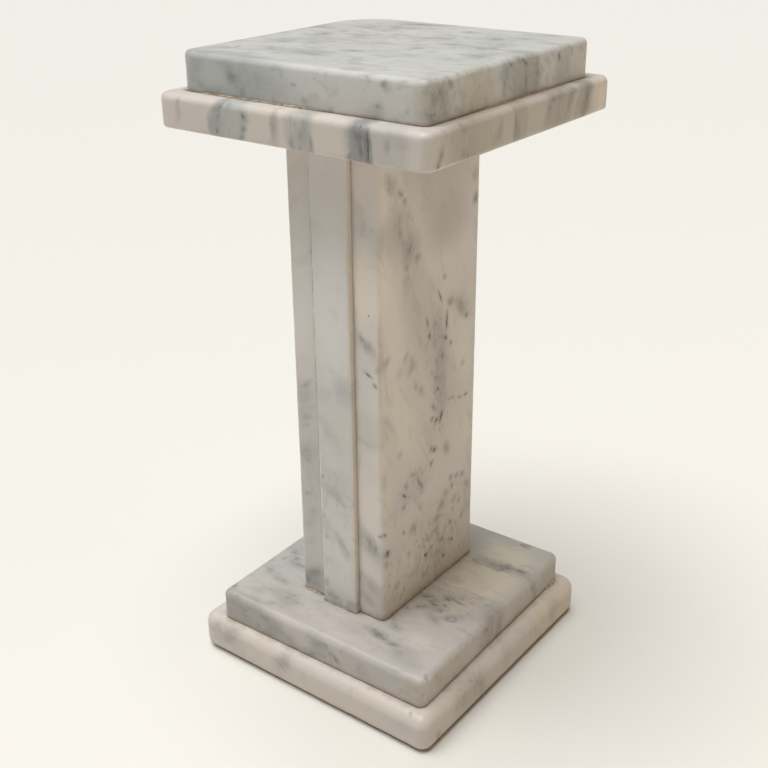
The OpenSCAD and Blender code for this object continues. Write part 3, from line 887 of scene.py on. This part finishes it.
def shaft_right_marble():
    """Beige stone with a broken chain of dark feathery veins down its wide face, speckled at the foot."""
    beds = [((25, 0, 0), (1.0, 3.0, 1.0), 11.0, 0.08, 0.14)]
    # Painted shade: the head of the smooth side darker for the cap's shadow.
    patches = [("side", 20, 650, 0, 150, 120, 30, 0.85, (176, 171, 162)),
               ("side", -78, 480, -84, 170, 32, 30, 0.8, (229, 219, 209)),
               ("side", 66, 390, 90, 70, 34, 30, 0.7, (225, 217, 205)),
               ("side", -62, 345, -64, 90, 34, 30, 0.8, (228, 220, 208)),
               ("side", 70, 285, 90, 60, 32, 30, 0.7, (226, 218, 207)),
               ("side", -88, 290, 90, 120, 20, 30, 0.6, (222, 213, 201)),
               ("side", 0, 140, 14, 170, 88, 30, 0.8, (204, 198, 188), 0.7, 0.55),
               ("side", -8, 440, -62, 200, 44, 30, 0.5, (190, 184, 175), 0.8),
               ("side", 12, 380, -84, 150, 34, 30, 0.3, (192, 186, 177), 0.8, 0.5),
               ("side", 18, 390, -86, 110, 18, 20, 0.35, (158, 153, 146), 0.9),
               ("side", -48, 560, -64, 90, 28, 30, 0.55, (180, 174, 165), 0.8, 0.4),
               ("side", -36, 245, 20, 60, 34, 30, 0.4, (190, 184, 174), 0.8, 0.5),
               ("side", 58, 450, -35, 50, 20, 30, 0.4, (184, 178, 169), 0.8, 0.4),
               # The next two patches are painted light: the front's head darker and browner for the cap's
               # shadow, its middle lighter.
               ("front", 40, 640, 90, 70, 40, 30, 0.5, (202, 191, 178)),
               ("front", 36, 510, 90, 70, 40, 30, 0.9, (238, 228, 215)),
               ("front", 36, 240, 90, 50, 40, 30, 0.6, (222, 212, 200)),
               ("front", 36, 340, 90, 40, 40, 30, 0.5, (196, 188, 182)),
               ("front", 36, 190, -50, 60, 20, 40, 0.5, (186, 180, 173), 0.8, 0.3),
               ("front", 36, 446, -42, 40, 12, 40, 0.4, (190, 183, 174), 0.8, 0.3),
               ("front", 30, 130, -40, 50, 22, 40, 0.4, (184, 177, 167), 0.8, 0.4),
               ("front", 56, 430, 90, 70, 4, 8, 0.5, (192, 172, 148)),
               ("front", 56, 300, 90, 400, 3, 8, 0.35, (212, 192, 168)),
               ("side", 32, 560, 0, 74, 52, 30, 0.4, (150, 147, 144)),
               ("side", -76, 566, 0, 34, 44, 30, 0.4, (150, 147, 144)),
               ("side", -48, 138, 0, 66, 62, 30, 0.5, (232, 226, 217))]
    veins = dict(
        side=[(-76, 624, -45, 22, 8, 20, 0.5, 0.3), (-60, 611, -50, 11, 4.5, 14, 0.55, 0.6),
            (-52, 600, -80, 7, 3.5, 12, 0.5, 0.6), (-40, 546, -30, 24, 17, 25, 0.38, 0.1),
            (-47, 546, 80, 11, 5.5, 14, 0.45, 0.35), (-49, 527, 60, 8, 5, 14, 0.5, 0.5),
            (-27, 533, -60, 9, 6, 14, 0.5, 0.5), (-50, 508, -85, 20, 7, 16, 0.28, 0.05),
            (27, 495, -60, 6, 4.5, 12, 0.5, 0.5), (84, 600, 84, 15, 6, 14, 0.4, 0.25),
            (87, 572, 84, 13, 6, 14, 0.65, 0.7), (17, 473, -62, 15, 3, 12, 0.55, 1.0),
            (-10, 450, -79, 13, 3, 12, 0.55, 1.0), (-5, 430, 0, 6, 5, 12, 0.6, 0.8),
            (7, 440, 60, 7, 4, 12, 0.35, 0.2), (30, 441, -86, 20, 3.4, 12, 0.6, 1.1),
            (28, 418, -60, 7, 4, 12, 0.6, 0.9), (36, 461, -20, 10, 5.5, 12, 0.5, 0.4),
            (57, 449, -44, 26, 7, 16, 0.5, 0.25), (72, 433, -60, 9, 4.5, 12, 0.55, 0.6),
            (40, 408, -60, 6, 3.5, 12, 0.5, 0.6), (22, 397, 60, 7, 4, 12, 0.5, 0.6),
            (9, 374, -50, 11, 3.5, 12, 0.45, 0.4), (13, 359, 80, 5, 3.6, 12, 0.6, 0.9),
            (65, 373, 20, 7, 4.5, 12, 0.4, 0.3), (6, 337, -55, 14, 3.5, 12, 0.5, 0.6),
            (2, 323, 60, 8, 4.5, 12, 0.5, 0.6), (12, 318, 0, 9, 4.5, 12, 0.6, 0.9),
            (22, 318, 75, 12, 3.8, 12, 0.65, 1.1), (40, 334, -6, 14, 2.8, 10, 0.45, 0.6),
            (60, 330, -14, 10, 2.8, 10, 0.5, 0.7), (74, 328, -5, 9, 3.2, 10, 0.55, 1.0),
            (8, 280, 40, 8, 7, 12, 0.7, 1.1), (1, 284, 20, 7, 4, 10, 0.5, 0.5),
            (34, 270, -60, 16, 7, 12, 0.45, 0.4), (3, 261, 80, 8, 4, 12, 0.55, 0.7),
            (-52, 243, -48, 11, 3.4, 12, 0.55, 1.0), (-48, 254, -75, 11, 3.4, 12, 0.45, 0.5),
            (-35, 264, -15, 10, 3.4, 10, 0.4, 0.4), (-22, 245, -62, 20, 3.4, 12, 0.5, 0.7),
            (-54, 227, 40, 8, 4, 10, 0.45, 0.4), (44, 224, 30, 8, 4.5, 12, 0.45, 0.4),
            (48, 211, -60, 8, 5, 12, 0.5, 0.6), (57, 221, -20, 9, 4.5, 12, 0.5, 0.5),
            (69, 217, -30, 9, 4.5, 12, 0.45, 0.4), (-93, 209, 0, 6, 4.5, 10, 0.55, 0.6),
            (-88, 181, 60, 8, 6.5, 12, 0.65, 1.0), (-90, 167, 0, 7, 4.5, 10, 0.45, 0.4),
            (-38, 189, -10, 12, 8, 12, 0.4, 0.3), (-56, 193, -50, 6, 3.5, 10, 0.45, 0.5),
            (-44, 158, -55, 9, 3.5, 10, 0.45, 0.5), (24, 193, -50, 10, 7, 12, 0.45, 0.4),
            (53, 189, -40, 9, 6, 12, 0.4, 0.3), (45, 157, -45, 9, 4, 12, 0.5, 0.6),
            (14, 161, 70, 7, 4.5, 10, 0.45, 0.4), (-8, 139, 20, 5.5, 4.6, 10, 0.65, 1.1),
            (4, 144, -45, 7, 3, 10, 0.45, 0.6), (25, 141, -20, 8, 3.6, 10, 0.55, 0.7),
            (47, 132, -30, 6, 4.6, 10, 0.6, 0.9), (30, 116, -40, 5.5, 3.6, 10, 0.55, 0.8),
            (36, 205, -40, 12, 6, 12, 0.35, 0.2), (70, 156, -50, 8, 4.5, 10, 0.4, 0.3),
            (12, 178, -40, 10, 6, 12, 0.35, 0.3), (-70, 125, 60, 10, 5, 12, 0.35, 0.3),
            (64, 181, -40, 8, 4.5, 10, 0.4, 0.4), (80, 198, -60, 12, 5, 10, 0.35, 0.3),
            (-20, 214, -50, 11, 5, 10, 0.3, 0.2), (-62, 105, 30, 9, 4, 10, 0.35, 0.3),
            (-14, 112, -30, 8, 4, 10, 0.3, 0.3), (-88, 427, -60, 9, 8, 14, 0.42, 0.25),
            (-50, 420, -20, 8, 7, 14, 0.38, 0.2), (-40, 406, -40, 16, 12, 14, 0.25, 0.0),
            (-62, 406, -30, 12, 9, 14, 0.2, 0.0), (-25, 372, -50, 28, 5, 14, 0.28, 0.1),
            (-80, 345, -55, 32, 6, 14, 0.22, 0.05), (-62, 304, -50, 9, 5, 14, 0.3, 0.15),
            (-92, 280, 85, 20, 4, 14, 0.25, 0.1)],
        front=[(40, 446, -36, 16, 7, 30, 0.42, 0.15), (34, 452, -36, 10, 3, 12, 0.5, 0.4),
            (41, 412, -24, 13, 2.4, 12, 0.5, 0.9), (49, 401, -40, 6, 3, 12, 0.5, 0.7),
            (40, 483, 20, 2.2, 1.8, 6, 0.5, 1.2), (53, 420, 70, 8, 4, 12, 0.4, 0.3),
            (38, 192, -46, 30, 9, 40, 0.45, 0.15), (44, 132, -45, 20, 8, 30, 0.35, 0.15),
            (36, 112, -30, 18, 7, 30, 0.35, 0.2), (53, 207, 20, 6, 3.5, 12, 0.5, 0.6)],
        back=[(38, 480, -40, 30, 7, 20, 0.35, 0.2), (40, 240, 50, 40, 8, 20, 0.35, 0.3)])
    return marble("shaft right marble", "shaft_right_slab", 5, (216, 209, 202), (206, 200, 192),
                  (216, 206, 196), (124, 119, 110), (76, 72, 65), 0.4, 0.4, beds, veins, patches, shaft_dirt_and_shade,
                  fold=2.5, lay=(1.2, 1.2, 0.75), speckle=0.75)


def shaft_dirt_and_shade(tree, place):
    """Dirt at the shaft's foot, painted shade from the cap at its head, and down the corners beside the proud
    middle slab a line and stain that are partly joint dirt and partly painted shade.
    """
    low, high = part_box("shaft_core_slab")
    yield height_above(tree, place, low[2]), 1.0, 9.0, 0.4
    # Under the cap: a thin line in the joint and a brown stain below it, painted shade from the cap.
    yield height_above(tree, place, high[2]), 0.6, 8.0, 0.25
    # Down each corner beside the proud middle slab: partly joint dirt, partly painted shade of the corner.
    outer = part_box("shaft_right_slab")[1][1]
    parts = put(tree, "ShaderNodeSeparateXYZ", (place,)).outputs
    across = sums(tree, "SUBTRACT", sums(tree, "ABSOLUTE", parts[1]), outer)
    for corner in (low[0], high[0]):
        beside = sums(tree, "SUBTRACT", parts[0], corner)
        away = vector(tree, "LENGTH", put(tree, "ShaderNodeCombineXYZ", (across, beside, 0.0)).outputs[0],
                      result="Value")
        yield away, 0.3, 5.0, 0.16


def step_marble():
    """Pinkish-white stone with grey patches, a grey end on the front and veined corners on top."""
    beds = [((0, 0, 12), (1.0, 3.0, 2.0), 10.0, 0.08, 0.22), ((0, 0, -4), (1.0, 4.0, 2.0), 17.0, 0.07, 0.18)]
    patches = [("front", -100, 66, -10, 96, 32, 26, 0.85, (162, 158, 153), 0.6, 0.4),
               ("front", -38, 84, -20, 26, 9, 14, 0.5, (204, 190, 184)),
               ("front", 70, 66, 0, 100, 40, 20, 0.6, (182, 172, 166)),
               ("front", 14, 68, -20, 40, 20, 16, 0.4, (160, 157, 153), 0.8, 0.6),
               ("front", 146, 66, 0, 20, 40, 16, 0.5, (176, 161, 144)),
               ("top", 20, -130, 10, 110, 34, 12, 0.5, (199, 187, 184)),
               ("top", -120, -60, 60, 80, 40, 12, 0.5, (182, 184, 177), 0.8, 0.6),
               # The next two pale patches are painted light, lifting the +X part of the top out of the
               # shaft's shadow.
               ("top", 105, 60, 90, 130, 62, 16, 0.9, (226, 216, 197), 0.6),
               ("top", 90, -40, 0, 66, 50, 16, 0.5, (214, 204, 192)),
               ("top", 92, -24, -14, 62, 34, 14, 0.55, (186, 180, 167), 0.7, 0.9),
               ("top", 110, 88, 4, 66, 14, 14, 0.35, (178, 172, 158), 0.8, 0.6),
               ("top", -40, -148, 4, 60, 16, 12, 0.4, (172, 168, 162)),
               ("top", -78, -124, 10, 40, 18, 12, 0.6, (164, 160, 154), 0.8, 0.4),
               ("top", 112, -102, 0, 34, 22, 12, 0.45, (218, 208, 199)),
               ("top", 66, -122, -6, 36, 12, 12, 0.5, (170, 164, 158), 0.8, 0.6),
               ("top", -130, -20, 70, 60, 26, 12, 0.3, (190, 189, 180), 0.8, 0.5),
               ("top", -60, -130, 10, 90, 30, 12, 0, None, 0.8, 0.4),
               ("top", 80, -120, 10, 60, 30, 12, 0, None, 0.8, 0.45),
               ("side", -100, 66, 0, 60, 30, 20, 0.4, (190, 178, 160)),
               ("side", 60, 66, 0, 40, 30, 20, 0.3, (192, 180, 162)),
               ("side", 130, 66, 0, 40, 30, 20, 0.5, (176, 166, 149)),
               ("side", -8, 66, 70, 44, 36, 40, 0.5, (172, 164, 149), 0.7, 0.5),
               ("top", 120, -136, 0, 38, 24, 12, 0.5, (160, 155, 150)),
               ("top", -66, -132, 10, 28, 16, 12, 0.35, (160, 156, 150)),
               ("top", 30, -128, 0, 32, 18, 12, 0.35, (166, 164, 156)),
               ("top", 84, 127, 0, 40, 24, 12, 0.4, (228, 220, 202))]
    veins = dict(
        front=[(-128, 80, -50, 14, 5, 14, 0.4, 0.3), (-112, 66, -50, 20, 4, 14, 0.25, 0.2),
            (-60, 70, -24, 60, 6, 20, 0.3, 0.0), (10, 74, -80, 13, 10, 16, 0.55, 0.25),
            (18, 76, -60, 10, 5, 14, 0.5, 0.4), (36, 62, -38, 14, 5, 14, 0.6, 0.6),
            (30, 66, -10, 8, 4, 14, 0.4, 0.5), (6, 58, -10, 18, 7, 14, 0.4, 0.2),
            (-8, 54, -30, 12, 5, 12, 0.35, 0.2), (75, 62, -60, 22, 9, 14, 0.22, 0.0)],
        side=[(-20, 66, 60, 40, 14, 60, 0.36, 0.1), (8, 70, 84, 40, 10, 60, 0.4, 0.2),
            (-34, 58, -50, 16, 5, 30, 0.3, 0.3), (92, 72, -66, 30, 6, 60, 0.6, 0.4),
            (98, 58, -70, 16, 6, 60, 0.5, 0.4), (-148, 84, -60, 6, 3.5, 6, 0.6, 0.9)],
        top=[(110, 88, 4, 46, 7, 14, 0.5, 0.45), (135, 92, 4, 18, 6, 14, 0.6, 0.6),
            (78, 80, 0, 14, 5, 14, 0.4, 0.4), (112, 83, 10, 12, 5, 14, 0.5, 0.6),
            (115, 4, 10, 44, 14, 14, 0.42, 0.2), (140, 6, 10, 12, 6, 14, 0.5, 0.5),
            (92, -34, -30, 26, 12, 14, 0.45, 0.3), (104, -56, -20, 26, 8, 14, 0.55, 0.55),
            (82, -42, 0, 10, 6, 14, 0.5, 0.5), (120, -44, 20, 24, 7, 14, 0.4, 0.4),
            (72, -92, -10, 20, 6, 10, 0.45, 0.5), (66, -86, 20, 8, 5, 10, 0.4, 0.4),
            (66, -120, -8, 30, 7, 10, 0.6, 0.5), (92, -125, 20, 14, 5, 10, 0.5, 0.5),
            (108, -134, -20, 14, 5, 10, 0.35, 0.2), (76, -48, 30, 14, 7, 12, 0.5, 0.6),
            (92, -12, -30, 12, 6, 12, 0.5, 0.6), (72, -22, 60, 16, 6, 12, 0.4, 0.4),
            (-122, -52, -40, 22, 5, 10, 0.5, 0.5), (-130, -48, 0, 9, 5, 10, 0.5, 0.5),
            (-100, -66, -10, 20, 5, 10, 0.4, 0.4), (-105, -104, -6, 36, 6, 12, 0.4, 0.3),
            (-128, -98, -40, 14, 6, 12, 0.4, 0.3), (-80, -148, 40, 14, 6, 10, 0.4, 0.4),
            (-60, -136, 30, 26, 9, 10, 0.3, 0.1), (-108, -142, 20, 12, 5, 10, 0.35, 0.3),
            (110, 149, 10, 14, 6, 10, 0.5, 0.5), (92, 140, 20, 26, 10, 10, 0.3, 0.1),
            (-142, -152, 40, 14, 8, 10, 0.5, 0.5), (60, -60, 0, 14, 5, 10, 0.3, 0.3),
            (80, 30, 40, 16, 9, 10, 0.2, 0.2), (-20, -122, -10, 40, 6, 10, 0.2, 0.1)])
    return marble("step marble", "base_step", 6, (193, 188, 182), (182, 180, 174), (195, 185, 177),
                  (138, 136, 130), (86, 83, 78), 0.45, 0.4, beds, veins, patches, step_dirt,
                  lay=(0.8, 1.3, 1.0), speckle=0.7)


def step_dirt(tree, place):
    """Dirt round the shaft's foot on the base step, and along the step's own foot."""
    yield foot_of(tree, place, "shaft_right_slab", OUTER_ARRIS), 1.3, 6.0, 0.5
    yield foot_of(tree, place, "shaft_core_slab", CORE_ARRIS), 1.2, 5.0, 0.5
    yield foot_of(tree, place, "shaft_left_slab", OUTER_ARRIS), 1.2, 5.0, 0.45
    yield height_above(tree, place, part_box("base_step")[0][2]), 1.0, 8.0, 0.45


def plinth_marble():
    """Cream stone, almost plain, with a few soft veins."""
    beds = [((0, 0, 30), (1.0, 3.0, 1.0), 9.0, 0.08, 0.12)]
    patches = [("front", -130, 30, 0, 50, 40, 40, 0.35, (194, 188, 180), 0.8, 0.4),
               ("side", 110, 30, 0, 90, 40, 40, 0.7, (218, 200, 177)),
               ("side", -80, 30, -50, 60, 40, 40, 0.4, (178, 168, 152), 0.8, 0.7),
               ("front", -38, 30, 60, 40, 20, 30, 0.3, (184, 176, 170), 0.8, 0.5)]
    veins = dict(
        front=[(-124, 34, 50, 32, 8, 40, 0.45, 0.15), (-150, 36, 20, 22, 6, 20, 0.3, 0.2),
            (-36, 36, 62, 24, 8, 30, 0.36, 0.2), (-40, 30, 80, 8, 6, 30, 0.4, 0.3),
            (150, 46, 60, 4.5, 3, 12, 0.5, 0.9), (148, 30, 80, 20, 16, 20, 0.15, 0.0)],
        side=[(-66, 32, -52, 34, 9, 60, 0.45, 0.25), (-98, 30, 60, 30, 20, 40, 0.22, 0.0),
            (-2, 32, 80, 26, 8, 40, 0.3, 0.15), (116, 30, 70, 30, 16, 50, 0.35, 0.1),
            (-152, 18, 80, 10, 5, 20, 0.4, 0.3), (-60, 18, -60, 10, 5, 20, 0.4, 0.3)])
    return marble("plinth marble", "plinth", 7, (204, 195, 186), (195, 188, 180), (205, 192, 177),
                  (140, 138, 132), (98, 94, 88), 0.4, 0.5, beds, veins, patches, plinth_marks_round_step)


def plinth_marks_round_step(tree, place):
    """A dark line and a brown stain on the plinth, fading out from where the base step stands."""
    low, high = (np.array(corner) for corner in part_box("base_step"))
    middle = (low + high) / 2
    length, width = step_size()
    turned = put(tree, "ShaderNodeMapping", {"Vector": place, "Location": (middle[0], middle[1], 0.0),
                 "Rotation": (0.0, 0.0, STEP_TURN)}, vector_type="TEXTURE").outputs[0]
    away = use(tree, FOOT_DISTANCE, Place=turned, Half_size=(length / 2, width / 2, 0.0),
               Radius=STEP_EDGES["corner"])[0]
    yield away, 1.3, 8.0, 0.45


def step_size():
    """The base step's own length and width, from the box that it fills when turned: each side of the box is
    the two straight sides seen askew, plus the round corners."""
    low, high = (np.array(corner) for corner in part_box("base_step"))
    round_part = 2 * STEP_EDGES["corner"]
    c, s = math.cos(STEP_TURN), math.sin(STEP_TURN)
    straight = np.linalg.solve([[c, s], [s, c]], (high - low)[:2] - round_part)
    return straight + round_part


# ---------------------------------------------------------------- slabs

def flat_slab(name, node, edges, material, seed, spots_x=(), spots_y=(), chips=(), turn=0.0, size=None,
              rubbed=()):
    """A flat slab over its CAD node, worn and chipped. Spots and chips are in the slab's own axes; rubbed are
    the corners (side on X, side on Y, radius) that are rounder than the cut ones."""
    low, high = (np.array(corner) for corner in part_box(node))
    middle = (low + high) / 2
    half = (high - low) / 2 if size is None else np.array(size) / 2
    points, ways, faces = flat_slab_skin(half[0], half[1], low[2], high[2], spots_x=spots_x, spots_y=spots_y,
                                         **edges)
    for sx, sy, radius in rubbed:
        rounder_corner(points, half, edges["corner"], radius, sx, sy)
    points = worn(points, ways, seed, arris_share(ways), chips=chips)
    c, s = math.cos(turn), math.sin(turn)
    x, y = points[:, 0].copy(), points[:, 1].copy()
    points[:, 0] = middle[0] + c * x - s * y
    points[:, 1] = middle[1] + s * x + c * y
    piece(name, points, faces, material, node)


def upright_slab(name, node, radii, material, seed):
    """An upright slab over its CAD node, worn."""
    low, high = (np.array(corner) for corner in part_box(node))
    points, ways, faces = upright_slab_skin(low, high, radii)
    points = worn(points, ways, seed, arris_share(ways), rub=0.35 * MM, wave=0.2 * MM)
    piece(name, points, faces, material, node)


def build_slabs():
    """All seven slabs, from the floor up."""
    flat_slab("plinth_stone", "plinth", PLINTH_EDGES, plinth_marble(), 11,
              spots_x=(PLINTH_CHIP[0][0] * MM,), chips=[PLINTH_CHIP], rubbed=PLINTH_RUBBED)
    flat_slab("base_step_stone", "base_step", STEP_EDGES, step_marble(), 21, turn=STEP_TURN,
              size=step_size(), spots_y=(STEP_CHIP[0][1] * MM,), chips=[STEP_CHIP])
    upright_slab("shaft_left_stone", "shaft_left_slab",
                 (TIGHT_ARRIS, OUTER_ARRIS, OUTER_ARRIS, TIGHT_ARRIS), shaft_left_marble(), 31)
    upright_slab("shaft_core_stone", "shaft_core_slab", (CORE_ARRIS,) * 4,
                 shaft_core_marble(), 41)
    upright_slab("shaft_right_stone", "shaft_right_slab",
                 (OUTER_ARRIS, TIGHT_ARRIS, TIGHT_ARRIS, OUTER_ARRIS), shaft_right_marble(), 51)
    flat_slab("cap_stone", "cap_plate", CAP_EDGES, cap_marble(), 61,
              rubbed=CAP_RUBBED)
    flat_slab("display_stone", "display_slab", DISPLAY_EDGES, display_marble(), 71,
              rubbed=DISPLAY_RUBBED)


def build_filler():
    """Old filler left in the joints. For the node that they lie under, beads are (radius, then their path in
    plan), in millimetres."""
    beads = dict(
        display_slab=[(1.5, (-128, -155.2), (-40, -155.4), (30, -155.2)),
                      (2.0, (-157.3, -128), (-156.4, -146), (-148, -154.6)),
                      (1.0, (157.2, -60), (157.2, 20), (157.2, 96))],
        shaft_core_slab=[(2.0, (-66, -97.3), (-50, -97.6), (-38, -98.4)),
                         (1.0, (-28, -104.2), (10, -104.2)),
                         (0.9, (54.0, -70), (58.2, -20), (58.2, 60))],
        base_step=[(3.6, (156.4, 128), (156.0, 146), (148, 157.0), (132, 158.6)),
                   (2.4, (-148.6, -126), (-148.0, -146), (-136, -161.6)),
                   (1.0, (-100, -163.0), (0, -161.4), (90, -160.2))])
    skins = []
    for node, runs in beads.items():
        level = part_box(node)[0][2] / MM + BEAD_LIFT
        for radius, *plan in runs:
            path = [(x, y, level) for x, y in plan]
            skins.append(bead_skin(path, radius, BEAD_SEED + 2 * len(skins)))
    points, _, faces = joined(skins)
    piece("joint_filler_beads", points, faces, filler())


# ---------------------------------------------------------------- stage

def floor():
    """A plain pale floor."""
    corners = [(x * FLOOR_REACH, y * FLOOR_REACH, 0) for x, y in ((-1, -1), (1, -1), (1, 1), (-1, 1))]
    mesh = bpy.data.meshes.new("floor")
    mesh.from_pydata(corners, [], [(0, 1, 2, 3)])
    material = bpy.data.materials.new("floor")
    material.use_nodes = True
    shader = material.node_tree.nodes["Principled BSDF"]
    shader.inputs["Base Color"].default_value = FLOOR_TINT
    shader.inputs["Roughness"].default_value = 0.9
    shader.inputs["Specular IOR Level"].default_value = 0.1
    mesh.materials.append(material)
    ground = bpy.data.objects.new("floor", mesh)
    bpy.context.scene.collection.objects.link(ground)


def aim(thing, target):
    """Turns a light to face a point."""
    way = np.array(target) - np.array(thing.location)
    tip = math.atan2(math.hypot(way[0], way[1]), -way[2])
    thing.rotation_euler = (tip, 0.0, math.atan2(way[1], way[0]) - math.pi / 2)


def lights():
    """A broad overhead light leaning to the front and away from the smooth side, a cool panel before the
    front and a warm one beside the smooth side, in a dim room."""
    sky = bpy.data.worlds.new("room")
    sky.use_nodes = True
    sky.node_tree.nodes["Background"].inputs["Color"].default_value = ROOM_TINT
    sky.node_tree.nodes["Background"].inputs["Strength"].default_value = ROOM_GLOW
    bpy.context.scene.world = sky
    sun = bpy.data.lights.new("overhead", "SUN")
    sun.energy = OVERHEAD_STRENGTH
    sun.color = OVERHEAD_TINT
    sun.angle = OVERHEAD_SPREAD
    above = bpy.data.objects.new("overhead", sun)
    above.rotation_euler = OVERHEAD_LEAN
    bpy.context.scene.collection.objects.link(above)
    for name, spot, size, power, tint in PANELS:
        lamp = bpy.data.lights.new(name, "AREA")
        lamp.size = size
        lamp.energy = power
        lamp.color = tint
        panel = bpy.data.objects.new(name, lamp)
        panel.location = spot
        aim(panel, PANEL_TARGET)
        bpy.context.scene.collection.objects.link(panel)
    bpy.context.scene.view_settings.view_transform = "Standard"


def camera():
    """The camera, at the viewing angle of a person standing before the near corner."""
    lens = bpy.data.cameras.new("camera")
    lens.sensor_width = SENSOR_MM
    lens.lens = LENS_MM
    eye = bpy.data.objects.new("camera", lens)
    bpy.context.scene.collection.objects.link(eye)
    turn = (Matrix.Rotation(LOOK_ROUND, 4, "Z") @ Matrix.Rotation(math.pi / 2 - LOOK_DOWN, 4, "X")
            @ Matrix.Rotation(LOOK_ROLL, 4, "Z"))
    place = Vector((CAMERA_AWAY * math.sin(CAMERA_ROUND), -CAMERA_AWAY * math.cos(CAMERA_ROUND),
                    CAMERA_HEIGHT))
    eye.matrix_world = Matrix.Translation(place) @ turn
    bpy.context.scene.camera = eye


camera()
floor()
lights()
build_slabs()
build_filler()
